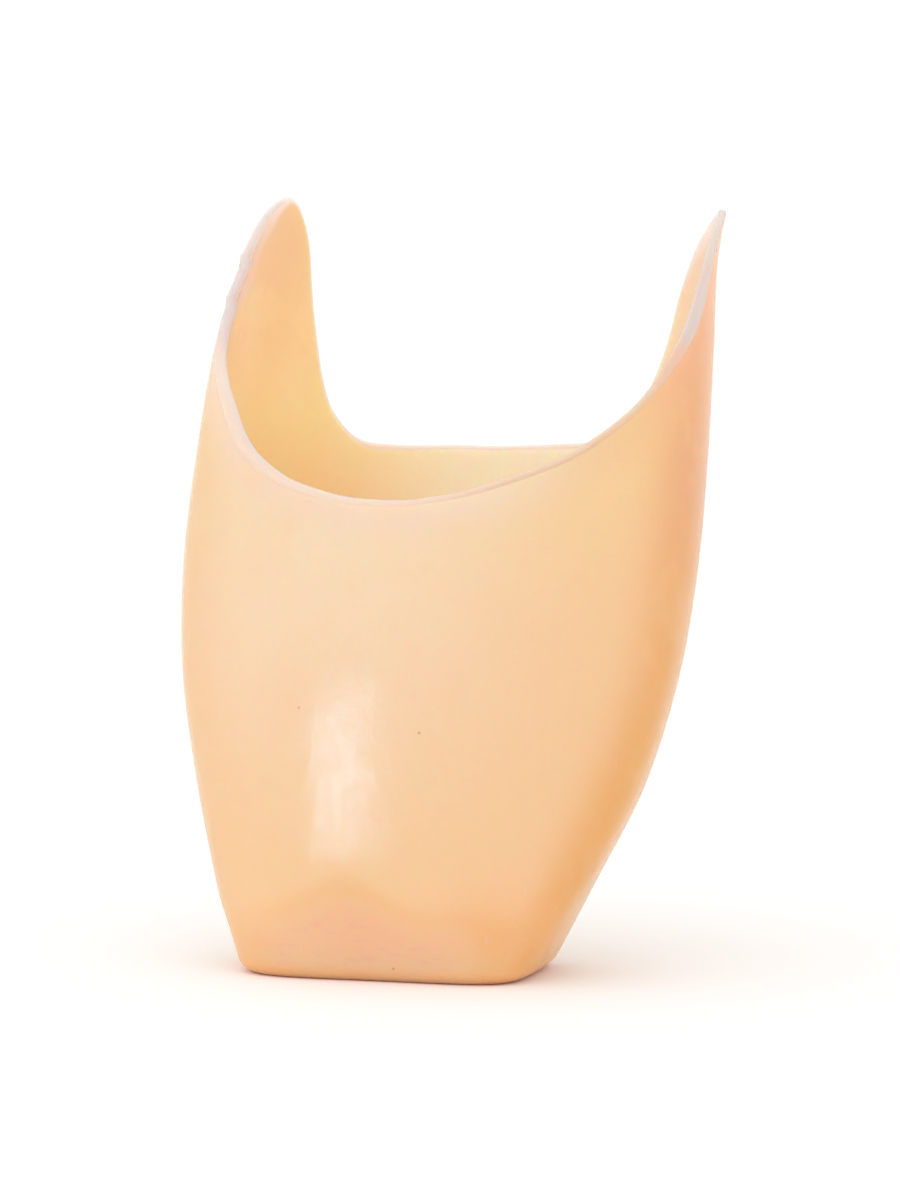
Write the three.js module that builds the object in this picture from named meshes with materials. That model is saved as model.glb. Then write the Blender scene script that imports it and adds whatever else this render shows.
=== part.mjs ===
// Pointe shoe toe pad: a soft gel pouch moulded in one piece, standing on its flat toe platform.
// Millimetres. +Z runs from the platform up to the mouth, -Y is the front and +X the right side
// seen from the front. The origin is the middle of the platform.
import * as THREE from "three";

// Outer wall, a row for each level: its height, the middle of its oval, the reach from that middle
// to each side, how square the oval is (2 is an ellipse) and the thickness of the wall.
const LEVELS = [
  { z: 0, midX: 0, midY: 0, left: 21.4, right: 19.4, front: 12.8, back: 12.8, square: 4.6, wall: 5 },
  { z: 12, midX: 1, midY: 1.2, left: 26.7, right: 25, front: 15.4, back: 15.4, square: 3, wall: 4.2 },
  { z: 25, midX: 2, midY: 3.8, left: 31.4, right: 30.4, front: 17.2, back: 17.2, square: 2.6, wall: 3.4 },
  { z: 40, midX: 3, midY: 7, left: 35.5, right: 33.5, front: 18.4, back: 18.4, square: 2.5, wall: 2.8 },
  { z: 55, midX: 4.2, midY: 9.8, left: 37.4, right: 34.3, front: 19, back: 19, square: 2.4, wall: 2.1 },
  { z: 70, midX: 5.5, midY: 12.2, left: 37.4, right: 33.8, front: 19, back: 19, square: 2.4, wall: 1.5 },
  { z: 85, midX: 6.9, midY: 14.1, left: 36.6, right: 32.8, front: 18.5, back: 18, square: 2.4, wall: 1.2 },
  { z: 97, midX: 8, midY: 15.3, left: 34.2, right: 32, front: 17.7, back: 16.9, square: 2.4, wall: 1.1 },
  { z: 106, midX: 8.9, midY: 16.2, left: 32.2, right: 32.6, front: 17, back: 16, square: 2.4, wall: 1 },
];

// Cut rim, a row for each turn of its line round the pad: degrees from the right side towards the
// back, and height. Two low scoops, front and back, leave an ear standing at each side.
const RIM = [
  [-98, 64.6], [-84, 65.3], [-70, 66.5], [-56, 68.2], [-44, 70.4], [-35, 73.1], [-26, 77.3],
  [-18, 82.2], [-12.5, 85.8], [-9, 88.4], [-6, 91], [-3.4, 93.8], [-0.5, 97.6], [3, 101.4],
  [7, 103], [11, 102.2], [15, 100.4], [19.3, 97], [24.4, 90.5], [28.2, 83.6], [32, 78.4],
  [37.5, 73], [47, 69.8], [66, 68.8], [98, 68.4], [132, 68.2], [141, 69.2], [148, 73.2],
  [151.6, 78], [156.2, 87.5], [161, 97], [165.6, 101.8], [169, 103.3], [172, 103], [175, 102.2],
  [178.2, 101], [181.5, 99.2], [184.5, 97], [186.6, 94], [188, 90.8], [189.2, 87.8], [190.2, 85],
  [191.8, 82.7], [195.3, 79.8], [199, 76.9], [205, 71.9], [211, 68.9], [219.5, 66.4], [238, 64.7],
];

const PLATFORM_EDGE_RADIUS = 2;
const HOLLOW_FLOOR = 6;
const HOLLOW_FLOOR_RADIUS = 8;

// Soft step across the front of the toe end: above its line the wall stands proud, below it is drawn
// in. The line rises from its level in two humps, and the wall bends from just above it to well below.
const TOE_STEP_LEVEL = 9.5;
const TOE_STEP_HUMPS = [
  { middle: -4.5, halfWidth: 8.5, rise: 5.2 },
  { middle: 11.8, halfWidth: 4, rise: 1.5 },
];
const TOE_STEP_DEPTH = 0.8;
const TOE_STEP_ABOVE = 1;
const TOE_STEP_BELOW = 4;

// Facets: columns round the pad, drawn together where the rim is steep, and rows up the wall and
// round its edges.
const COLUMNS = 104;
const COLUMN_CROWDING = 0.6;
const COLUMN_STEPS = 20;
const WALL_ROWS = 18;
const EDGE_ROWS = 4;
const RIM_ROWS = 4;

const GEL_COLOUR = 0xf4cfa6;
const GEL_ROUGHNESS = 0.35;

// A smooth curve through the rows of a table: the value of column output where column input is at.
function curveValue(rows, input, output, at) {
  const last = rows.length - 1;
  let row = 0;
  while (row < last - 1 && at > rows[row + 1][input]) {
    row += 1;
  }
  const slopeAt = (index) => {
    const before = rows[Math.max(index - 1, 0)];
    const after = rows[Math.min(index + 1, last)];
    return (after[output] - before[output]) / (after[input] - before[input]);
  };
  const from = rows[row];
  const to = rows[row + 1];
  const span = to[input] - from[input];
  const t = (at - from[input]) / span;
  const rise = to[output] - from[output];
  const startSlope = slopeAt(row) * span;
  const endSlope = slopeAt(row + 1) * span;
  const bend = startSlope + endSlope - 2 * rise;
  return from[output] + t * (startSlope + t * (3 * rise - 2 * startSlope - endSlope + t * bend));
}

// The rim's table repeats every full turn, so a turn of rows before and after it closes the curve.
const RIM_TURNS = [-360, 0, 360].flatMap((turn) =>
  RIM.map(([angle, height]) => ({ angle: angle + turn, height })),
);

function rimHeight(angle) {
  return curveValue(RIM_TURNS, "angle", "height", THREE.MathUtils.radToDeg(angle));
}

// How far a quarter-round of this radius, rising from its start, still stands in from the wall.
function roundingInset(radius, rise) {
  const left = Math.max(radius - rise, 0);
  return radius - Math.sqrt(radius * radius - left * left);
}

// Height of the toe step's line where the wall is x to the right of the pad's middle.
function toeStepLine(x) {
  let height = TOE_STEP_LEVEL;
  for (const { middle, halfWidth, rise } of TOE_STEP_HUMPS) {
    height += rise * Math.exp(-(((x - middle) / halfWidth) ** 2));
  }
  return height;
}

// How far the toe step draws the outer wall in.
function toeStepInset(angle, x, z) {
  const below = THREE.MathUtils.smoothstep(toeStepLine(x) - z, -TOE_STEP_ABOVE, TOE_STEP_BELOW);
  const facingFront = Math.max(-Math.sin(angle), 0);
  return TOE_STEP_DEPTH * below * facingFront;
}

// The point of the wall in one direction at one level, drawn in from the outside by inset.
function wallPoint(angle, z, inset) {
  const level = (column) => curveValue(LEVELS, "z", column, z);
  const sideways = Math.cos(angle);
  const backwards = Math.sin(angle);
  const halfWidth = level(sideways > 0 ? "right" : "left") - inset;
  const halfDepth = level(backwards > 0 ? "back" : "front") - inset;
  const square = level("square");
  const sum = Math.abs(sideways / halfWidth) ** square + Math.abs(backwards / halfDepth) ** square;
  const reach = sum ** (-1 / square);
  return new THREE.Vector3(level("midX") + reach * sideways, level("midY") + reach * backwards, z);
}

function outerPoint(angle, z) {
  const inset = roundingInset(PLATFORM_EDGE_RADIUS, z);
  const plain = wallPoint(angle, z, inset);
  return wallPoint(angle, z, inset + toeStepInset(angle, plain.x, z));
}

function innerPoint(angle, z) {
  const wall = curveValue(LEVELS, "z", "wall", z);
  return wallPoint(angle, z, wall + roundingInset(HOLLOW_FLOOR_RADIUS, z - HOLLOW_FLOOR));
}

// Heights of one column's rows: round the edge that starts at floor, then evenly up to the rim.
function rowHeights(floor, edgeRadius, rim) {
  const heights = [];
  for (let row = 0; row < EDGE_ROWS; row += 1) {
    const turn = (row / EDGE_ROWS) * (Math.PI / 2);
    heights.push(floor + edgeRadius * (1 - Math.cos(turn)));
  }
  const start = floor + edgeRadius;
  for (let row = 0; row <= WALL_ROWS; row += 1) {
    heights.push(start + ((rim - start) * row) / WALL_ROWS);
  }
  return heights;
}

// Directions of the columns: partly spread evenly round the pad, partly evenly along the rim.
function columnAngles() {
  const steps = COLUMNS * COLUMN_STEPS;
  const angleAt = (step) => (step / steps) * 2 * Math.PI;
  const rimPoint = (step) => outerPoint(angleAt(step), rimHeight(angleAt(step)));
  const lengths = [0];
  for (let step = 1; step <= steps; step += 1) {
    lengths.push(lengths[step - 1] + rimPoint(step).distanceTo(rimPoint(step - 1)));
  }
  const spread = (step) =>
    (COLUMN_CROWDING * lengths[step]) / lengths[steps] + ((1 - COLUMN_CROWDING) * step) / steps;
  const angles = [];
  let step = 0;
  for (let column = 0; column < COLUMNS; column += 1) {
    while (spread(step) < column / COLUMNS) {
      step += 1;
    }
    angles.push(angleAt(step));
  }
  return angles;
}

// Rows that turn over the rim, from the outside to the inside: a half-round across the wall's
// thickness, standing square to the rim's own line.
function rimRows(angles) {
  const edges = angles.map((angle) => {
    const height = rimHeight(angle);
    const outside = outerPoint(angle, height);
    const inside = innerPoint(angle, height);
    const middle = outside.clone().add(inside).multiplyScalar(0.5);
    return { middle, outward: outside.clone().sub(middle) };
  });
  const uprights = edges.map((edge, column) => {
    const next = edges[(column + 1) % COLUMNS].middle;
    const previous = edges[(column + COLUMNS - 1) % COLUMNS].middle;
    const along = next.clone().sub(previous);
    return edge.outward.clone().cross(along).setLength(edge.outward.length());
  });
  const rows = [];
  for (let row = 1; row < RIM_ROWS; row += 1) {
    const turn = (row / RIM_ROWS) * Math.PI;
    rows.push(
      edges.map((edge, column) =>
        edge.middle
          .clone()
          .addScaledVector(edge.outward, Math.cos(turn))
          .addScaledVector(uprights[column], Math.sin(turn)),
      ),
    );
  }
  return rows;
}

// Rings of points in order: up the outside, over the rim and down the inside to the hollow's floor.
function pouchRings() {
  const angles = columnAngles();
  const outside = angles.map((angle) =>
    rowHeights(0, PLATFORM_EDGE_RADIUS, rimHeight(angle)).map((z) => outerPoint(angle, z)),
  );
  const inside = angles.map((angle) =>
    rowHeights(HOLLOW_FLOOR, HOLLOW_FLOOR_RADIUS, rimHeight(angle)).map((z) => innerPoint(angle, z)),
  );
  const ring = (columns, row) => columns.map((points) => points[row]);
  const rows = [...outside[0].keys()];
  return [
    ...rows.map((row) => ring(outside, row)),
    ...rimRows(angles),
    ...rows.reverse().map((row) => ring(inside, row)),
  ];
}

// One closed surface: the rings joined in turn, with a flat fan closing the platform below the first
// ring and another closing the hollow's floor inside the last.
function pouchGeometry() {
  const rings = pouchRings();
  const points = rings.flat();
  const lastRing = (rings.length - 1) * COLUMNS;
  const platformMiddle = points.length;
  const floorMiddle = platformMiddle + 1;
  points.push(new THREE.Vector3(0, 0, 0));
  points.push(new THREE.Vector3(0, 0, HOLLOW_FLOOR));
  const faces = [];
  for (let column = 0; column < COLUMNS; column += 1) {
    const next = (column + 1) % COLUMNS;
    faces.push(platformMiddle, next, column);
    for (let first = 0; first < lastRing; first += COLUMNS) {
      const second = first + COLUMNS;
      faces.push(first + column, first + next, second + next);
      faces.push(first + column, second + next, second + column);
    }
    faces.push(floorMiddle, lastRing + column, lastRing + next);
  }
  const geometry = new THREE.BufferGeometry().setFromPoints(points).setIndex(faces);
  geometry.computeVertexNormals();
  return geometry;
}

function gelPouch() {
  const gel = new THREE.MeshStandardMaterial({
    color: GEL_COLOUR,
    roughness: GEL_ROUGHNESS,
    metalness: 0,
  });
  const pouch = new THREE.Mesh(pouchGeometry(), gel);
  pouch.name = "gel_pouch";
  return pouch;
}

const toePad = new THREE.Group();
toePad.add(gelPouch());

export default toePad;
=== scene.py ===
import math

import bpy
import numpy as np
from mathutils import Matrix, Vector, noise
from mathutils.kdtree import KDTree


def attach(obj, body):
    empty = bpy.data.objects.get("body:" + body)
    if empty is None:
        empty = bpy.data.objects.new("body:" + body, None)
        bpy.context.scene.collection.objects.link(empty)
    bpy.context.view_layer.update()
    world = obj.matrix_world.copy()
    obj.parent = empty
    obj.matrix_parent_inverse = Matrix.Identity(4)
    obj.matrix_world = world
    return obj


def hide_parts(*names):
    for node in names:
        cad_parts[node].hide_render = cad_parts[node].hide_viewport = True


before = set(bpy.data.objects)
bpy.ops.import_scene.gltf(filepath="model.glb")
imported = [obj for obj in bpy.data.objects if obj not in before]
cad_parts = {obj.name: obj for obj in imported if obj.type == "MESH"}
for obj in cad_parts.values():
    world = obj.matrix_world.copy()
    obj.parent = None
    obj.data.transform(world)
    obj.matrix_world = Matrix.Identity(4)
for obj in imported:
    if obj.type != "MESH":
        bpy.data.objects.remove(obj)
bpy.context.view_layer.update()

MM = 0.001

# Outer wall, a row for each level: its height, the middle of its oval, the reach from that middle
# to each side, how square the oval is (2 is an ellipse) and the thickness of the wall.
LEVEL_COLUMNS = ("z", "mid_x", "mid_y", "left", "right", "front", "back", "square", "wall")
LEVEL_ROWS = (
    (0, 0, 0, 21.4, 19.4, 12.8, 12.8, 4.6, 5),
    (12, 1, 1.2, 26.7, 25, 15.4, 15.4, 3, 4.2),
    (25, 2, 3.8, 31.4, 30.4, 17.2, 17.2, 2.6, 3.4),
    (40, 3, 7, 35.5, 33.5, 18.4, 18.4, 2.5, 2.8),
    (55, 4.2, 9.8, 37.4, 34.3, 19, 19, 2.4, 2.1),
    (70, 5.5, 12.2, 37.4, 33.8, 19, 19, 2.4, 1.5),
    (85, 6.9, 14.1, 36.6, 32.8, 18.5, 18, 2.4, 1.2),
    (97, 8, 15.3, 34.2, 32, 17.7, 16.9, 2.4, 1.1),
    (106, 8.9, 16.2, 32.2, 32.6, 17, 16, 2.4, 1),
)
LEVELS = dict(zip(LEVEL_COLUMNS, np.array(LEVEL_ROWS, float).T))

# Cut rim, a row for each turn of its line: degrees from the right side towards the back, and height.
RIM_ROWS = (
    (-98, 64.6), (-84, 65.3), (-70, 66.5), (-56, 68.2), (-44, 70.4), (-35, 73.1), (-26, 77.3),
    (-18, 82.2), (-12.5, 85.8), (-9, 88.4), (-6, 91), (-3.4, 93.8), (-0.5, 97.6), (3, 101.4),
    (7, 103), (11, 102.2), (15, 100.4), (19.3, 97), (24.4, 90.5), (28.2, 83.6), (32, 78.4),
    (37.5, 73), (47, 69.8), (66, 68.8), (98, 68.4), (132, 68.2), (141, 69.2), (148, 73.2),
    (151.6, 78), (156.2, 87.5), (161, 97), (165.6, 101.8), (169, 103.3), (172, 103), (175, 102.2),
    (178.2, 101), (181.5, 99.2), (184.5, 97), (186.6, 94), (188, 90.8), (189.2, 87.8), (190.2, 85),
    (191.8, 82.7), (195.3, 79.8), (199, 76.9), (205, 71.9), (211, 68.9), (219.5, 66.4), (238, 64.7),
)
RIM_ANGLES, RIM_HEIGHTS = np.array(RIM_ROWS, float).T

# Waver of the hand-cut rim: waves round the pad, height of the wave and where it starts.
RIM_WAVES = ((7, 0.06, 0.4), (13, 0.03, 2.0))

# Stretches of the rim lie between two of its degrees and fade in and out at their ends.
STRETCH_FADE = 4
LEFT_EAR_FRONT = (169, 198)
RIGHT_EAR = (-14, 30)
BACK_SCOOP = (32, 152)

# Slips of the knife on the front edge of the left ear: the height of each, half its length and how
# far it stands out. They reach this far from the rim.
NICKS = ((96.3, 0.6, 0.35), (95, 0.6, -0.3), (91, 0.9, 0.4), (88.8, 0.8, -0.25))
NICK_REACH = 1.5

# Lips of the rim: the stretch of each, over how many degrees it fades and how much thicker than the
# rest of the wall it is. They reach this far down.
LIPS = (((160, 290), 50, 0.5), ((-26, 5), 14, 0.8), ((-66, -10), 18, -0.4))
LIP_REACH = 3

PLATFORM_EDGE_RADIUS = 2
HOLLOW_FLOOR = 6
HOLLOW_FLOOR_RADIUS = 8

# Soft step across the front of the toe end: above its line the wall stands proud, below it is drawn
# in. The line rises from its level in two humps, given by their middle, half width and rise.
TOE_STEP_LEVEL = 9.5
TOE_STEP_HUMPS = ((-4.5, 8.5, 5.2), (11.8, 4, 1.5))
TOE_STEP_DEPTH = 0.8
TOE_STEP_ABOVE = 1
TOE_STEP_BELOW = 4

# Slow waver of the soft walls: size of its lumps and how far they stand out.
WALL_WAVER = ((30, 0.12), (9, 0.015))

# Mesh: columns round the pad, drawn together where the rim is steep, how many steps a column the rim
# is measured in for that, and rows up the wall and round its edges.
COLUMNS = 440
COLUMN_STEPS = 20
RIM_CROWDING = 0.65
OUTER_ROWS = 96
INNER_ROWS = 72
EDGE_ROWS = 8
CUT_ROWS = 14
CUT_SQUARENESS = 0.9
ROW_CROWDING = 1.4

# In each pair of limits for the paint, a tint starts to show at the first and is full at the second.

# Pale feathering from the cut down the inside of the ears, a row for each turn of the rim: its
# degrees, and how far the feathering reaches from there. It is full over this share of its reach.
FEATHER_ROWS = (
    (-12, 0.1), (-4, 1), (3, 2.5), (11, 3), (15, 3), (19, 2), (24, 0.3), (160, 0.1), (169, 0.5),
    (172, 1.5), (176, 3.5), (180, 5), (182.5, 6.5), (184.5, 8.5), (186.6, 10.5), (189, 8),
    (191, 3.5), (195, 0.1),
)
FEATHER_ANGLES, FEATHER_REACHES = np.array(FEATHER_ROWS, float).T
FEATHER_FULL = 0.25

# The cut's own tint: heights of the rim over which the left ear's tint sets in, how far and how
# strongly it spreads over the outside of that ear, and how much of it the back scoop goes without.
LEFT_EAR_HEIGHTS = (79, 89)
CUT_SPREAD = (1.1, 0)
CUT_SPREAD_STRENGTH = 0.8
BACK_SCOOP_PLAINNESS = 0.9

# Toe end: depths are below the toe step's line, and places go from left to right.
TOE_PATCH_DEPTHS = (2.5, 5.5)
TOE_PATCH_PLACES = (15, 8)
# Painted shade in the toe end's corners and in a band below its step.
RIGHT_CORNER_DEPTHS = (-6, 5)
RIGHT_CORNER_PLACES = (8, 17)
LEFT_CORNER_HEIGHTS = (9, 4)
LEFT_CORNER_PLACES = (-12, -18)
LEFT_CORNER_STRENGTH = 0.5
STEP_SHADE_DEPTH = 1.8
STEP_SHADE_HALF_WIDTH = 1.8

# Painted shade: deeper bands along both sides, by how far the surface faces sideways, away from the
# light. The right one starts later further up.
RIGHT_BAND_START = 0.37
RIGHT_BAND_DELAY = 0.12
RIGHT_BAND_HEIGHTS = (20, 45)
RIGHT_BAND_WIDTH = 0.55
LEFT_BAND = (0.2, 0.9)


def curve_value(inputs, outputs, at):
    """A smooth curve through a table's rows: the output where the input is at."""
    last = len(inputs) - 1
    before = np.maximum(np.arange(last + 1) - 1, 0)
    after = np.minimum(np.arange(last + 1) + 1, last)
    slopes = (outputs[after] - outputs[before]) / (inputs[after] - inputs[before])
    row = np.clip(np.searchsorted(inputs, at) - 1, 0, last - 1)
    span = inputs[row + 1] - inputs[row]
    t = (at - inputs[row]) / span
    rise = outputs[row + 1] - outputs[row]
    start = slopes[row] * span
    end = slopes[row + 1] * span
    bend = 3 * rise - 2 * start - end + t * (start + end - 2 * rise)
    return outputs[row] + t * (start + t * bend)


def level(column, z):
    return curve_value(LEVELS["z"], LEVELS[column], z)


def smooth_step(value, low, high):
    t = np.clip((value - low) / (high - low), 0, 1)
    return t * t * (3 - 2 * t)


def rim_height(angles):
    """Height of the cut rim: the table's curve, with the waver of a hand cut."""
    turns = np.concatenate([RIM_ANGLES - 360, RIM_ANGLES, RIM_ANGLES + 360])
    height = curve_value(turns, np.tile(RIM_HEIGHTS, 3), np.degrees(angles))
    for waves, rise, start in RIM_WAVES:
        height = height + rise * np.sin(waves * angles + start)
    return height


def rounding_inset(radius, rise):
    """How far a quarter-round of this radius, rising from its start, still stands in from the wall."""
    left = np.maximum(radius - rise, 0)
    return radius - np.sqrt(radius**2 - left**2)


def below_toe_step(x, z):
    """How far a point lies below the toe step's line."""
    line = TOE_STEP_LEVEL
    for middle, half_width, rise in TOE_STEP_HUMPS:
        line = line + rise * np.exp(-(((x - middle) / half_width) ** 2))
    return line - z


def facing_front(angles):
    return np.maximum(-np.sin(angles), 0)


def wall_points(angles, z, inset):
    """Points of the wall in these directions and levels, drawn in from the outside by inset."""
    rightwards = np.cos(angles)
    backwards = np.sin(angles)
    half_width = np.where(rightwards > 0, level("right", z), level("left", z)) - inset
    half_depth = np.where(backwards > 0, level("back", z), level("front", z)) - inset
    square = level("square", z)
    total = np.abs(rightwards / half_width) ** square + np.abs(backwards / half_depth) ** square
    reach = total ** (-1 / square)
    x = level("mid_x", z) + reach * rightwards
    y = level("mid_y", z) + reach * backwards
    return np.stack([x, y, z], axis=-1)


def waver(points):
    """Slow unevenness of the soft wall at these points."""
    flat = points.reshape(-1, 3)
    total = np.zeros(len(flat))
    for size, rise in WALL_WAVER:
        total += rise * np.array([noise.noise(Vector(p)) for p in flat / size])
    return total.reshape(points.shape[:-1])


def row_heights(floor, edge_radius, rows, rim):
    """Heights of the mesh's rows: round the edge that starts at floor, then up to the rim, near which
    they lie closer together."""
    turns = np.linspace(0, math.pi / 2, EDGE_ROWS, endpoint=False)
    edge = floor + edge_radius * (1 - np.cos(turns))
    start = floor + edge_radius
    share = 1 - np.linspace(1, 0, rows + 1)[:, None] ** ROW_CROWDING
    wall = start + (rim - start) * share
    return np.concatenate([np.repeat(edge[:, None], len(rim), axis=1), wall])


def outer_wall(angles, rim):
    z = row_heights(0, PLATFORM_EDGE_RADIUS, OUTER_ROWS, rim)
    turned = np.broadcast_to(angles, z.shape)
    inset = rounding_inset(PLATFORM_EDGE_RADIUS, z)
    plain = wall_points(turned, z, inset)
    below = smooth_step(below_toe_step(plain[..., 0], z), -TOE_STEP_ABOVE, TOE_STEP_BELOW)
    standing = smooth_step(z, 0, PLATFORM_EDGE_RADIUS)
    inset = inset + TOE_STEP_DEPTH * below * facing_front(turned) - waver(plain) * standing
    return wall_points(turned, z, inset)


def inner_wall(angles, rim):
    z = row_heights(HOLLOW_FLOOR, HOLLOW_FLOOR_RADIUS, INNER_ROWS, rim)
    turned = np.broadcast_to(angles, z.shape)
    inset = level("wall", z) + rounding_inset(HOLLOW_FLOOR_RADIUS, z - HOLLOW_FLOOR)
    return wall_points(turned, z, inset)


def cut_face(outer_edge, inner_edge, crown):
    """Rows over the cut rim, from the outside to the inside: a low arch that stands up to its crown."""
    middle = (outer_edge + inner_edge) / 2
    outward = outer_edge - middle
    along = np.roll(middle, -1, axis=0) - np.roll(middle, 1, axis=0)
    upright = np.cross(outward, along)
    upright *= crown[:, None] / np.linalg.norm(upright, axis=1, keepdims=True)
    turns = np.linspace(0, math.pi, CUT_ROWS + 1)[1:-1, None, None]
    across = np.sign(np.cos(turns)) * np.abs(np.cos(turns)) ** CUT_SQUARENESS
    over = np.sin(turns) ** CUT_SQUARENESS
    return middle + outward * across + upright * over


def column_angles():
    """Directions of the columns: partly spread evenly round the pad, partly evenly along the rim."""
    angles = np.linspace(0, 2 * math.pi, COLUMN_STEPS * COLUMNS + 1)
    line = wall_points(angles, rim_height(angles), 0)
    along = np.append(0, np.cumsum(np.linalg.norm(np.diff(line, axis=0), axis=1)))
    spread = RIM_CROWDING * along / along[-1] + (1 - RIM_CROWDING) * angles / angles[-1]
    return np.interp(np.arange(COLUMNS) / COLUMNS, spread, angles)


def nearest_on_rim(points, rim_line):
    """For each point, how far off the rim's line is and which column it is nearest to."""
    tree = KDTree(len(rim_line))
    for column, point in enumerate(rim_line):
        tree.insert(point, column)
    tree.balance()
    found = [tree.find(point) for point in points.reshape(-1, 3)]
    gaps = np.array([gap for _, _, gap in found])
    columns = np.array([column for _, column, _ in found])
    return gaps.reshape(points.shape[:-1]), columns.reshape(points.shape[:-1])


def stretch(angles, ends, fade=STRETCH_FADE):
    """1 in the directions of a stretch of the rim, fading to 0 at both its ends."""
    first, last = ends
    along = (np.degrees(angles) - first) % 360
    length = last - first
    return smooth_step(along, 0, fade) * smooth_step(along, length, length - fade)


def shape_lips(inside, inward, angles):
    """The inner wall, drawn in along the rim where its lips are thicker and out where thinner."""
    gap, column = nearest_on_rim(inside, inside[0])
    thicker = sum(rise * stretch(angles, ends, fade) for ends, fade, rise in LIPS)
    drawn_in = thicker[column] * np.exp(-((gap / LIP_REACH) ** 2))
    return inside + drawn_in[..., None] * inward[column]


def shape_nicks(rings, rim_gap, rim_column, rim, inward, angles):
    """The rings, pushed out or in along the left ear's front edge where the knife slipped."""
    stands_out = np.zeros(COLUMNS)
    for height, half_length, rise in NICKS:
        stands_out += rise * np.exp(-(((rim - height) / half_length) ** 2))
    stands_out *= stretch(angles, LEFT_EAR_FRONT)
    nudge = stands_out[rim_column] * np.exp(-((rim_gap / NICK_REACH) ** 2))
    return rings - nudge[..., None] * inward[rim_column]


def ring_faces(rings):
    """Quads between each ring of points and the next, and a fan at each end round a middle point."""
    columns = np.arange(COLUMNS)
    following = np.roll(columns, -1)
    quads = []
    for ring in range(rings - 1):
        low = ring * COLUMNS
        high = low + COLUMNS
        corners = [low + columns, low + following, high + following, high + columns]
        quads.append(np.stack(corners, axis=1))
    platform_middle = rings * COLUMNS
    floor_middle = platform_middle + 1
    last = (rings - 1) * COLUMNS
    faces = np.concatenate(quads).tolist()
    for column, after in zip(columns.tolist(), following.tolist()):
        faces.append((platform_middle, after, column))
        faces.append((floor_middle, last + column, last + after))
    return faces


def pouch_mesh(rings):
    """A closed mesh of the rings, with a middle point on the platform and one on the hollow's floor."""
    middles = np.array([[0, 0, 0], [0, 0, HOLLOW_FLOOR]], float)
    points = np.concatenate([rings.reshape(-1, 3), middles])
    mesh = bpy.data.meshes.new("gel_pouch_skin")
    mesh.from_pydata((points * MM).tolist(), [], ring_faces(len(rings)))
    mesh.polygons.foreach_set("use_smooth", [True] * len(mesh.polygons))
    return mesh


def add_attribute(mesh, name, ring_values):
    """Keeps a value at each point of the rings, and 0 at the two middle points that close them."""
    values = np.append(ring_values.ravel(), [0, 0]).astype(np.float32)
    mesh.attributes.new(name, "FLOAT", "POINT").data.foreach_set("value", values)


def facing_right(mesh):
    """How far the surface faces right at each point of the rings."""
    normals = np.array([vertex.normal.x for vertex in mesh.vertices])
    return normals[:-2].reshape(-1, COLUMNS)


def toe_paint(rings, on_outside, angles):
    """Where the toe end's tints show: the patch below its step, and the painted shade in its corners
    and below its step.
    """
    across = rings[..., 0]
    height = rings[..., 2]
    below = below_toe_step(across, height)
    in_front = facing_front(angles) * on_outside
    patch = smooth_step(below, *TOE_PATCH_DEPTHS) * smooth_step(across, *TOE_PATCH_PLACES)
    right = smooth_step(below, *RIGHT_CORNER_DEPTHS) * smooth_step(across, *RIGHT_CORNER_PLACES)
    left = smooth_step(height, *LEFT_CORNER_HEIGHTS) * smooth_step(across, *LEFT_CORNER_PLACES)
    shade = np.exp(-(((below - STEP_SHADE_DEPTH) / STEP_SHADE_HALF_WIDTH) ** 2))
    return {
        "toe": in_front * patch,
        "corner_shade": np.maximum(right, LEFT_CORNER_STRENGTH * left) * on_outside,
        "step_shade": in_front * shade,
    }


def side_paint(mesh, height, on_outside):
    """Where the painted shade along both sides shows."""
    rightwards = facing_right(mesh)
    start = RIGHT_BAND_START + RIGHT_BAND_DELAY * smooth_step(height, *RIGHT_BAND_HEIGHTS)
    return {
        "right_shade": smooth_step(rightwards, start, start + RIGHT_BAND_WIDTH) * on_outside,
        "left_shade": smooth_step(-rightwards, *LEFT_BAND) * on_outside,
    }


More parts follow.
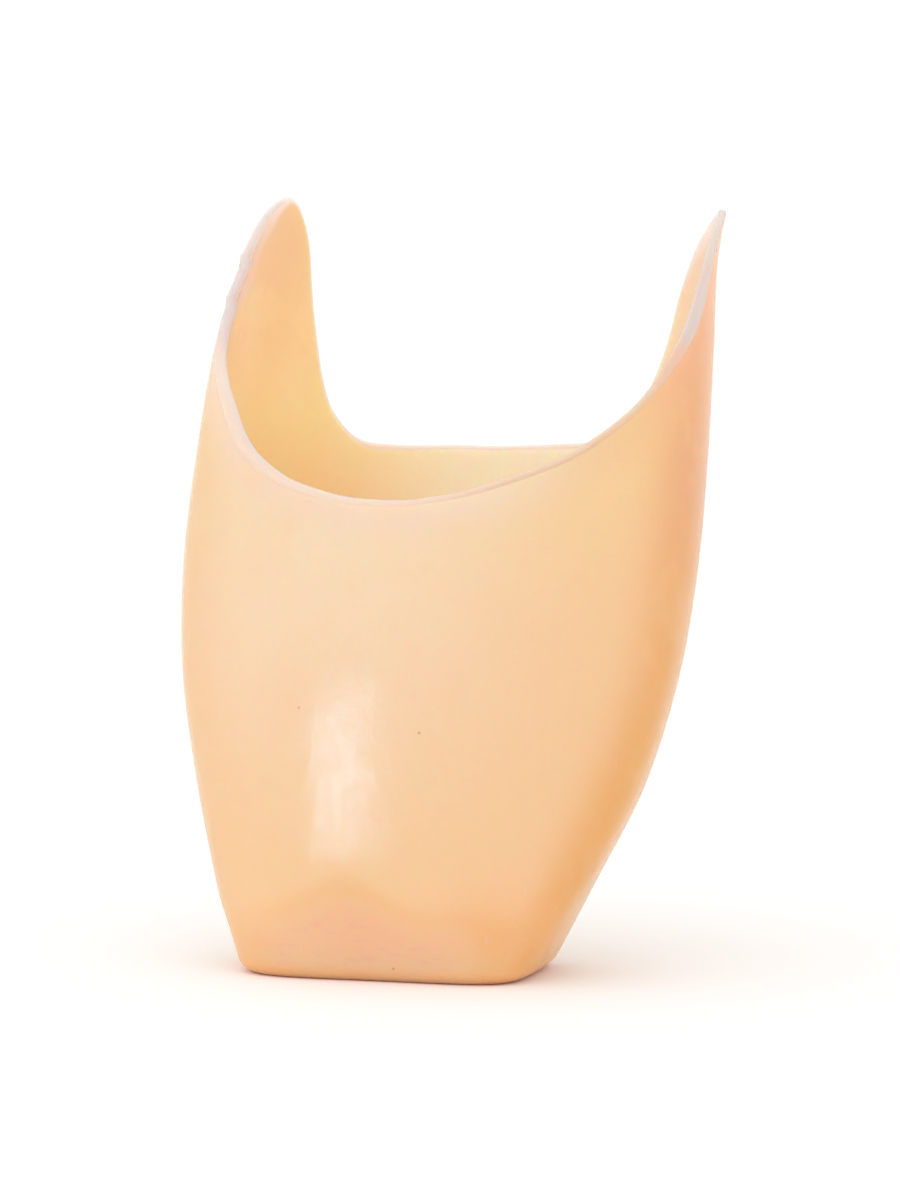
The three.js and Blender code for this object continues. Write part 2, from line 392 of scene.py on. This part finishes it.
def gel_pouch():
    """The pouch as one closed mesh, with what the material needs to know kept at each point."""
    angles = column_angles()
    rim = rim_height(angles)
    outside = outer_wall(angles, rim)
    inside = inner_wall(angles, rim)[::-1]
    inward = inside[0] - outside[-1]
    wall = np.linalg.norm(inward, axis=1)
    inward /= wall[:, None]
    inside = shape_lips(inside, inward, angles)
    cut = cut_face(outside[-1], inside[0], wall / 2)
    rings = np.concatenate([outside, cut, inside])
    rim_gap, rim_column = nearest_on_rim(rings, cut[len(cut) // 2])
    rings = shape_nicks(rings, rim_gap, rim_column, rim, inward, angles)

    cut_rings = slice(len(outside), -len(inside))
    inside_rings = slice(-len(inside), None)
    on_inside = np.zeros(rings.shape[:2])
    on_inside[cut_rings] = np.linspace(0, 1, len(cut))[:, None]
    on_inside[inside_rings] = 1
    on_outside = 1 - on_inside

    half_cut = np.linalg.norm(inside[0] - outside[-1], axis=1) / 2
    past_cut = rim_gap - half_cut[rim_column]
    on_left_ear = stretch(angles, LEFT_EAR_FRONT) * smooth_step(rim, *LEFT_EAR_HEIGHTS)
    on_ear = np.maximum(on_left_ear, stretch(angles, RIGHT_EAR))
    on_cut = CUT_SPREAD_STRENGTH * on_left_ear[rim_column] * smooth_step(past_cut, *CUT_SPREAD)
    on_cut[cut_rings] = 1
    on_cut[inside_rings] = 0
    on_cut *= 1 - BACK_SCOOP_PLAINNESS * stretch(angles, BACK_SCOOP)
    reach = np.interp(np.degrees(angles), FEATHER_ANGLES, FEATHER_REACHES, period=360)[rim_column]
    feather = smooth_step(past_cut, reach, FEATHER_FULL * reach)

    mesh = pouch_mesh(rings)
    paint = {
        "rim_gap": rim_gap,
        "cut": on_cut,
        "ear": on_ear[rim_column],
        "feather": feather * on_inside,
        "inside": on_inside,
        **toe_paint(rings, on_outside, angles),
        **side_paint(mesh, rings[..., 2], on_outside),
    }
    for name, ring_values in paint.items():
        add_attribute(mesh, name, ring_values)
    pouch = bpy.data.objects.new("gel_pouch_skin", mesh)
    bpy.context.scene.collection.objects.link(pouch)
    return pouch


class Nodes:
    """Makes and joins the nodes of one material or world."""

    def __init__(self, tree):
        self.tree = tree
        tree.nodes.clear()

    def add(self, kind, settings=None, **sockets):
        node = self.tree.nodes.new(kind)
        for name, value in (settings or {}).items():
            setattr(node, name, value)
        for name, value in sockets.items():
            self.feed(node.inputs[name.replace("_", " ")], value)
        return node

    def feed(self, socket, value):
        if isinstance(value, bpy.types.NodeSocket):
            self.tree.links.new(value, socket)
        else:
            socket.default_value = value

    def attribute(self, name):
        return self.add("ShaderNodeAttribute", {"attribute_name": name}).outputs["Fac"]

    def map(self, value, low, high, to_low=0.0, to_high=1.0, curve="SMOOTHSTEP"):
        node = self.add("ShaderNodeMapRange", {"interpolation_type": curve}, Value=value)
        limits = {"From Min": low, "From Max": high, "To Min": to_low, "To Max": to_high}
        for name, limit in limits.items():
            node.inputs[name].default_value = limit
        return node.outputs["Result"]

    def between(self, place, ends, strength=1.0):
        """0 at the first of two places, rising to its strength at the second, in millimetres."""
        first, second = ends
        return self.map(place, first * MM, second * MM, 0.0, strength)

    def math(self, operation, first, second):
        node = self.add("ShaderNodeMath", {"operation": operation})
        self.feed(node.inputs[0], first)
        self.feed(node.inputs[1], second)
        return node.outputs["Value"]

    def times(self, first, second):
        return self.math("MULTIPLY", first, second)

    def mix(self, share, first, second):
        node = self.add("ShaderNodeMix", {"data_type": "RGBA"})
        self.feed(node.inputs["Factor"], share)
        self.feed(node.inputs["A"], first)
        self.feed(node.inputs["B"], second)
        return node.outputs["Result"]

    def vector(self, operation, first, second):
        node = self.add("ShaderNodeVectorMath", {"operation": operation})
        self.feed(node.inputs[0], first)
        self.feed(node.inputs[1], second)
        return node.outputs

    def noise(self, where, lump, detail):
        """Noise with lumps of this size along each axis, in millimetres."""
        scaled = self.vector("DIVIDE", where, [length * MM for length in lump])["Vector"]
        node = self.add("ShaderNodeTexNoise", Vector=scaled, Scale=1.0, Detail=detail)
        return node.outputs["Fac"]

    def pattern(self, where, lump, detail, shown, strength):
        """Patches of noise, which start to show at one value of the noise and are full at another."""
        return self.map(self.noise(where, lump, detail), *shown, 0.0, strength)

    def spot(self, where, middle, radius):
        """1 at a point, fading to 0 a radius away from it, both in millimetres."""
        gap = self.vector("DISTANCE", where, [place * MM for place in middle])["Value"]
        return self.map(gap, radius * MM, radius * MM / 2)


# Colours of the gel on the outside. The low, right, edge, step and corner colours carry painted shade,
# and the foot colour a painted contact shadow.
GEL_TOP = (0.835, 0.63, 0.46, 1)
GEL_LOW = (0.815, 0.57, 0.335, 1)
GEL_RIGHT = (0.82, 0.555, 0.325, 1)
GEL_SHADE_RIGHT_FOOT = (0.75, 0.41, 0.15, 1)
GEL_SHADE_RIGHT_EDGE = (0.725, 0.395, 0.15, 1)
GEL_SHADE_RIGHT_EAR = (0.66, 0.385, 0.215, 1)
GEL_SHADE_LEFT_EDGE = (0.76, 0.51, 0.29, 1)
GEL_BLUSH = (0.83, 0.535, 0.335, 1)
GEL_STEP_SHADE = (0.81, 0.485, 0.235, 1)
GEL_TOE = (0.815, 0.485, 0.305, 1)
GEL_CORNER_SHADE = (0.79, 0.415, 0.155, 1)
GEL_STREAK = (0.77, 0.445, 0.35, 1)
GEL_CONTACT_SHADOW = (0.97, 0.39, 0.165, 1)
GEL_SCUFF = (0.83, 0.68, 0.53, 1)
GEL_RIM = (0.79, 0.615, 0.525, 1)
GEL_RIM_RIGHT = (0.74, 0.445, 0.29, 1)
GEL_SPECK = (0.35, 0.16, 0.06, 1)

# Colours of the cut rim.
CUT_OUTER = (0.73, 0.56, 0.475, 1)
CUT_FRONT = (0.73, 0.61, 0.59, 1)
CUT_RIGHT = (0.59, 0.435, 0.365, 1)
CUT_LEFT_EAR = (0.55, 0.51, 0.53, 1)
CUT_RIGHT_EAR = (0.505, 0.485, 0.49, 1)

# Colours of the hollow, painted bright as a stand-in for light that comes through its walls.
LINING_LOW = (1, 0.66, 0.43, 1)
LINING_BACK = (1, 0.785, 0.66, 1)
LINING_RIGHT = (0.805, 0.615, 0.51, 1)
LINING_PALE = (1, 0.71, 0.52, 1)
LINING_LEFT = (0.86, 0.565, 0.395, 1)
LINING_LEFT_EAR = (0.67, 0.48, 0.35, 1)
LINING_RIGHT_EAR = (0.685, 0.52, 0.44, 1)
LINING_FEATHER = (0.71, 0.59, 0.58, 1)

# Where one colour gives way to another: heights, and places from left to right.
WALL_HEIGHTS = (10, 60)
WALL_PLACES = (-5, 38)
RIGHT_FOOT_HEIGHTS = (15, 48)
RIGHT_EAR_HEIGHTS = (45, 75)
# Heights over which the painted contact shadow along the foot sets in.
FOOT_HEIGHTS = (2.8, 0.6)
RIM_PLACES = (14, 36)
CUT_RIGHT_PLACES = (-8, 24)
CUT_EAR_PLACES = (-10, 20)
LINING_BACK_PLACES = (-22, 4)
LINING_RIGHT_PLACES = (18, 32)
LINING_LEFT_PLACES = (5, -15)
LINING_LEFT_HEIGHTS = (72, 86)
LINING_EAR_PLACES = (-15, 25)
LINING_EAR_HEIGHTS = (80, 102)

# Rim tint: how near to the rim it shows. Cut: how far across it the outer colour gives way.
RIM_TINT_REACH = (8, 0.5)
CUT_ACROSS = (0.1, 0.8)

# How strongly each mark shows.
STEP_SHADE_STRENGTH = 0.55
TOE_STRENGTH = 0.8
CORNER_SHADE_STRENGTH = 0.6
CONTACT_SHADOW_STRENGTH = 0.75
RIM_TINT_STRENGTH = 0.7
SPECK_STRENGTH = 0.45

# Patterns: size of the lumps along each axis, detail, the noise where they show, and how strongly.
STREAKS = ((3, 3, 0.9), 3, (0.5, 0.7), 0.5)
BLUSH = ((20, 20, 20), 2, (0.45, 0.75), 0.22)
MOTTLE = ((4, 4, 5), 3, (0.45, 0.75), 0.16)
SCUFFS = ((0.8, 0.8, 4), 2, (0.68, 0.8), 0.14)
LINING_MOTTLE = ((6, 6, 9), 3, (0.45, 0.75), 0.25)

# Dark specks caught in the gel: where each one is and its radius.
SPECKS = (
    ((5.7, -12.2, 34.5), 0.28),
    ((-11.5, -11, 37.2), 0.22),
    ((2.1, -12.3, 2.1), 0.25),
    ((40.2, 15.8, 98.4), 0.4),
    ((-33, 12, 61), 0.3),
    ((-20, 25, 30), 0.3),
    ((12, 27.5, 47), 0.3),
    ((30, 20, 22), 0.25),
)

# Shine: patches of smoother and rougher gel, with the cut a little rougher than the rest.
SHINE_LUMP = (1.2, 1.2, 2.4)
SHINE_DETAIL = 3
SHINE_SHOWN = (0.4, 0.62)
ROUGHNESS = (0.12, 0.225)
CUT_ROUGHER = 0.04

# Unevenness too fine for the mesh: size of the lumps, detail, strength and height.
FINE_LUMP = (0.65, 0.65, 0.9)
FINE_DETAIL = 3
FINE_STRENGTH = 0.1
FINE_HEIGHT = 0.2
SOFT_LUMP = (3, 3, 5)
SOFT_DETAIL = 1
SOFT_STRENGTH = 1.0
SOFT_HEIGHT = 0.05

# Gel: how it bends light, and how far light spreads in it.
GEL_IOR = 1.41
GEL_SPECULAR = 0.2
GEL_SCATTER_RADIUS = (1.4, 0.65, 0.35)
GEL_SCATTER_SCALE = 6


def wall_colour(nodes, place):
    """Tint of the outer wall, with painted shade: it deepens towards the toe end, which faces down,
    towards the right, away from the light, and in bands where the surface turns to the sides.
    """
    colour = nodes.mix(nodes.between(place["Z"], WALL_HEIGHTS), GEL_LOW, GEL_TOP)
    colour = nodes.mix(nodes.between(place["X"], WALL_PLACES), colour, GEL_RIGHT)
    edge = nodes.mix(nodes.between(place["Z"], RIGHT_FOOT_HEIGHTS), GEL_SHADE_RIGHT_FOOT, GEL_SHADE_RIGHT_EDGE)
    edge = nodes.mix(nodes.between(place["Z"], RIGHT_EAR_HEIGHTS), edge, GEL_SHADE_RIGHT_EAR)
    colour = nodes.mix(nodes.attribute("right_shade"), colour, edge)
    return nodes.mix(nodes.attribute("left_shade"), colour, GEL_SHADE_LEFT_EDGE)


def toe_colour(nodes, where, place, colour):
    """The toe end: painted shade below its step, a pink patch with fine streaks, painted shade in its
    corners and a painted contact shadow along its foot.
    """
    step_shade = nodes.times(nodes.attribute("step_shade"), STEP_SHADE_STRENGTH)
    colour = nodes.mix(step_shade, colour, GEL_STEP_SHADE)
    toe = nodes.attribute("toe")
    colour = nodes.mix(nodes.times(toe, TOE_STRENGTH), colour, GEL_TOE)
    streaks = nodes.times(toe, nodes.pattern(where, *STREAKS))
    colour = nodes.mix(streaks, colour, GEL_STREAK)
    corner = nodes.times(nodes.attribute("corner_shade"), CORNER_SHADE_STRENGTH)
    colour = nodes.mix(corner, colour, GEL_CORNER_SHADE)
    return nodes.mix(nodes.between(place["Z"], FOOT_HEIGHTS, CONTACT_SHADOW_STRENGTH), colour, GEL_CONTACT_SHADOW)


def lining_colour(nodes, where, place):
    """Tint of the hollow, painted brighter than the outside as a stand-in for light through the walls,
    palest at the back, where light comes through the wall, and with painted shade on the raised left
    side.
    """
    lining = nodes.mix(nodes.between(place["X"], LINING_BACK_PLACES), LINING_LOW, LINING_BACK)
    lining = nodes.mix(nodes.between(place["X"], LINING_RIGHT_PLACES), lining, LINING_RIGHT)
    leftwards = nodes.between(place["X"], LINING_LEFT_PLACES)
    raised = nodes.between(place["Z"], LINING_LEFT_HEIGHTS)
    lining = nodes.mix(nodes.times(leftwards, raised), lining, LINING_LEFT)
    ears = nodes.mix(nodes.between(place["X"], LINING_EAR_PLACES), LINING_LEFT_EAR, LINING_RIGHT_EAR)
    lining = nodes.mix(nodes.between(place["Z"], LINING_EAR_HEIGHTS), lining, ears)
    return nodes.mix(nodes.pattern(where, *LINING_MOTTLE), lining, LINING_PALE)


def cut_colour(nodes, place):
    """Tint of the cut rim, greyer on the ears, and deeper to the right with painted shade."""
    ears = nodes.mix(nodes.between(place["X"], CUT_EAR_PLACES), CUT_LEFT_EAR, CUT_RIGHT_EAR)
    front = nodes.mix(nodes.map(nodes.attribute("inside"), *CUT_ACROSS), CUT_OUTER, CUT_FRONT)
    front = nodes.mix(nodes.between(place["X"], CUT_RIGHT_PLACES), front, CUT_RIGHT)
    return nodes.mix(nodes.attribute("ear"), front, ears)


def gel_colour(nodes, where):
    """Colour of the gel all over, with the marks on it."""
    place = nodes.add("ShaderNodeSeparateXYZ", Vector=where).outputs
    colour = toe_colour(nodes, where, place, wall_colour(nodes, place))
    near_rim = nodes.map(nodes.attribute("rim_gap"), *RIM_TINT_REACH, 0.0, RIM_TINT_STRENGTH)
    # The rim's tint deepens to the right with painted shade, like the wall's.
    rim = nodes.mix(nodes.between(place["X"], RIM_PLACES), GEL_RIM, GEL_RIM_RIGHT)
    colour = nodes.mix(near_rim, colour, rim)
    colour = nodes.mix(nodes.pattern(where, *BLUSH), colour, GEL_BLUSH)
    colour = nodes.mix(nodes.pattern(where, *MOTTLE), colour, GEL_BLUSH)
    colour = nodes.mix(nodes.pattern(where, *SCUFFS), colour, GEL_SCUFF)
    colour = nodes.mix(nodes.attribute("inside"), colour, lining_colour(nodes, where, place))
    colour = nodes.mix(nodes.attribute("feather"), colour, LINING_FEATHER)
    colour = nodes.mix(nodes.attribute("cut"), colour, cut_colour(nodes, place))
    for middle, radius in SPECKS:
        speck = nodes.times(nodes.spot(where, middle, radius), SPECK_STRENGTH)
        colour = nodes.mix(speck, colour, GEL_SPECK)
    return colour


def gel_material():
    material = bpy.data.materials.new("gel")
    material.use_nodes = True
    nodes = Nodes(material.node_tree)
    where = nodes.add("ShaderNodeTexCoord").outputs["Object"]
    patches = nodes.noise(where, SHINE_LUMP, SHINE_DETAIL)
    shine = nodes.map(patches, *SHINE_SHOWN, *ROUGHNESS)
    rougher = nodes.times(nodes.attribute("cut"), CUT_ROUGHER)
    fine = nodes.add(
        "ShaderNodeBump",
        Strength=FINE_STRENGTH,
        Distance=FINE_HEIGHT * MM,
        Height=nodes.noise(where, FINE_LUMP, FINE_DETAIL),
    )
    soft = nodes.add(
        "ShaderNodeBump",
        Strength=SOFT_STRENGTH,
        Distance=SOFT_HEIGHT * MM,
        Height=nodes.noise(where, SOFT_LUMP, SOFT_DETAIL),
        Normal=fine.outputs["Normal"],
    )
    shader = nodes.add(
        "ShaderNodeBsdfPrincipled",
        Base_Color=gel_colour(nodes, where),
        Roughness=nodes.math("ADD", shine, rougher),
        Normal=soft.outputs["Normal"],
        IOR=GEL_IOR,
        Specular_IOR_Level=GEL_SPECULAR,
        Subsurface_Weight=1.0,
        Subsurface_Radius=GEL_SCATTER_RADIUS,
        Subsurface_Scale=GEL_SCATTER_SCALE * MM,
    )
    nodes.add("ShaderNodeOutputMaterial", Surface=shader.outputs["BSDF"])
    return material


# Floor: its size, the two whites of its slow patches, their size and detail, and its roughness.
FLOOR_SIZE = 6000
FLOOR_PALE = (0.98, 0.98, 0.98, 1)
FLOOR_DIM = (0.965, 0.965, 0.965, 1)
FLOOR_LUMP = (40, 40, 40)
FLOOR_DETAIL = 2
FLOOR_ROUGHNESS = 0.8


def studio_floor():
    mesh = bpy.data.meshes.new("studio_floor")
    half = FLOOR_SIZE * MM / 2
    corners = [(-half, -half, 0), (half, -half, 0), (half, half, 0), (-half, half, 0)]
    mesh.from_pydata(corners, [], [(0, 1, 2, 3)])
    material = bpy.data.materials.new("studio_floor")
    material.use_nodes = True
    nodes = Nodes(material.node_tree)
    where = nodes.add("ShaderNodeTexCoord").outputs["Object"]
    colour = nodes.mix(nodes.noise(where, FLOOR_LUMP, FLOOR_DETAIL), FLOOR_PALE, FLOOR_DIM)
    shader = nodes.add("ShaderNodeBsdfPrincipled", Base_Color=colour, Roughness=FLOOR_ROUGHNESS)
    nodes.add("ShaderNodeOutputMaterial", Surface=shader.outputs["BSDF"])
    mesh.materials.append(material)
    floor = bpy.data.objects.new("studio_floor", mesh)
    bpy.context.scene.collection.objects.link(floor)


# Background: the direction in which its light is brightest, its strength there and on the opposite
# side, and its strength as the camera sees it.
WORLD_TOWARDS = Vector((-0.3, -0.65, 0.65)).normalized()
WORLD_BRIGHT = 1.29
WORLD_DIM = 0.67
WORLD_SEEN = 1.05
WHITE = (1, 1, 1, 1)


def studio_world():
    """A white background, which lights the pad softly from above the left of its front."""
    world = bpy.data.worlds.new("studio")
    world.use_nodes = True
    nodes = Nodes(world.node_tree)
    where = nodes.add("ShaderNodeTexCoord").outputs["Generated"]
    facing = nodes.vector("DOT_PRODUCT", where, WORLD_TOWARDS)["Value"]
    strength = nodes.map(facing, -1, 1, WORLD_DIM, WORLD_BRIGHT, curve="LINEAR")
    light = nodes.add("ShaderNodeBackground", Color=WHITE, Strength=strength)
    seen = nodes.add("ShaderNodeBackground", Color=WHITE, Strength=WORLD_SEEN)
    path = nodes.add("ShaderNodeLightPath")
    both = nodes.add("ShaderNodeMixShader", Fac=path.outputs["Is Camera Ray"])
    nodes.feed(both.inputs[1], light.outputs["Background"])
    nodes.feed(both.inputs[2], seen.outputs["Background"])
    nodes.add("ShaderNodeOutputWorld", Surface=both.outputs["Shader"])
    bpy.context.scene.world = world


def direction(azimuth, elevation):
    """Unit vector towards this azimuth and elevation, with azimuth 0 in front of the pad."""
    a = math.radians(azimuth)
    e = math.radians(elevation)
    return Vector((math.sin(a) * math.cos(e), -math.cos(a) * math.cos(e), math.sin(e)))


def place_facing(obj, target, distance, azimuth, elevation):
    """Puts an object this far from a target, in millimetres, so that it faces the target."""
    away = distance * MM * direction(azimuth, elevation)
    obj.location = Vector(target) * MM + away
    obj.rotation_euler = away.to_track_quat("Z", "Y").to_euler()
    bpy.context.scene.collection.objects.link(obj)


# Strip light: the point of the front that it faces, where it stands, its size, how far it leans, the
# spread of its beam and its power.
STRIP_TARGET = (-5, -12.3, 27.2)
STRIP_DISTANCE = 60
STRIP_AZIMUTH = -22
STRIP_ELEVATION = 4.2
STRIP_WIDTH = 20
STRIP_HEIGHT = 32
STRIP_LEAN = 6
STRIP_SPREAD = 30
STRIP_WATTS = 0.00125
STRIP_COLOUR = (0.3, 0.68, 1)


def strip_light():
    """Small softbox low at the front left, whose mirror image is the bright band on the front. Its grid
    keeps it off the sides."""
    light = bpy.data.lights.new("strip", "AREA")
    light.shape = "RECTANGLE"
    light.size = STRIP_WIDTH * MM
    light.size_y = STRIP_HEIGHT * MM
    light.spread = math.radians(STRIP_SPREAD)
    light.energy = STRIP_WATTS
    light.color = STRIP_COLOUR
    lamp = bpy.data.objects.new("strip", light)
    lamp.visible_camera = False
    lamp.visible_diffuse = False
    place_facing(lamp, STRIP_TARGET, STRIP_DISTANCE, STRIP_AZIMUTH, STRIP_ELEVATION)
    lamp.rotation_euler.rotate_axis("Z", math.radians(STRIP_LEAN))


# Camera: where the photograph was taken from, and how many of its pixels a millimetre fills.
CAMERA_TARGET = (4.9, 7, 50.3)
CAMERA_DISTANCE = 1200
CAMERA_AZIMUTH = 15
CAMERA_ELEVATION = 7
PIXELS_PER_MM = 7.3
PHOTO_HEIGHT = 1200
SENSOR_HEIGHT = 36


def photo_camera():
    camera = bpy.data.cameras.new("photo_camera")
    camera.sensor_fit = "VERTICAL"
    camera.sensor_height = SENSOR_HEIGHT
    camera.lens = SENSOR_HEIGHT * PIXELS_PER_MM * CAMERA_DISTANCE / PHOTO_HEIGHT
    viewer = bpy.data.objects.new("photo_camera", camera)
    place_facing(viewer, CAMERA_TARGET, CAMERA_DISTANCE, CAMERA_AZIMUTH, CAMERA_ELEVATION)
    bpy.context.scene.camera = viewer


photo_camera()
studio_world()
strip_light()
studio_floor()
bpy.context.scene.view_settings.view_transform = "Standard"

pouch = gel_pouch()
pouch.data.materials.append(gel_material())
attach(pouch, "root")
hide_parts("gel_pouch")
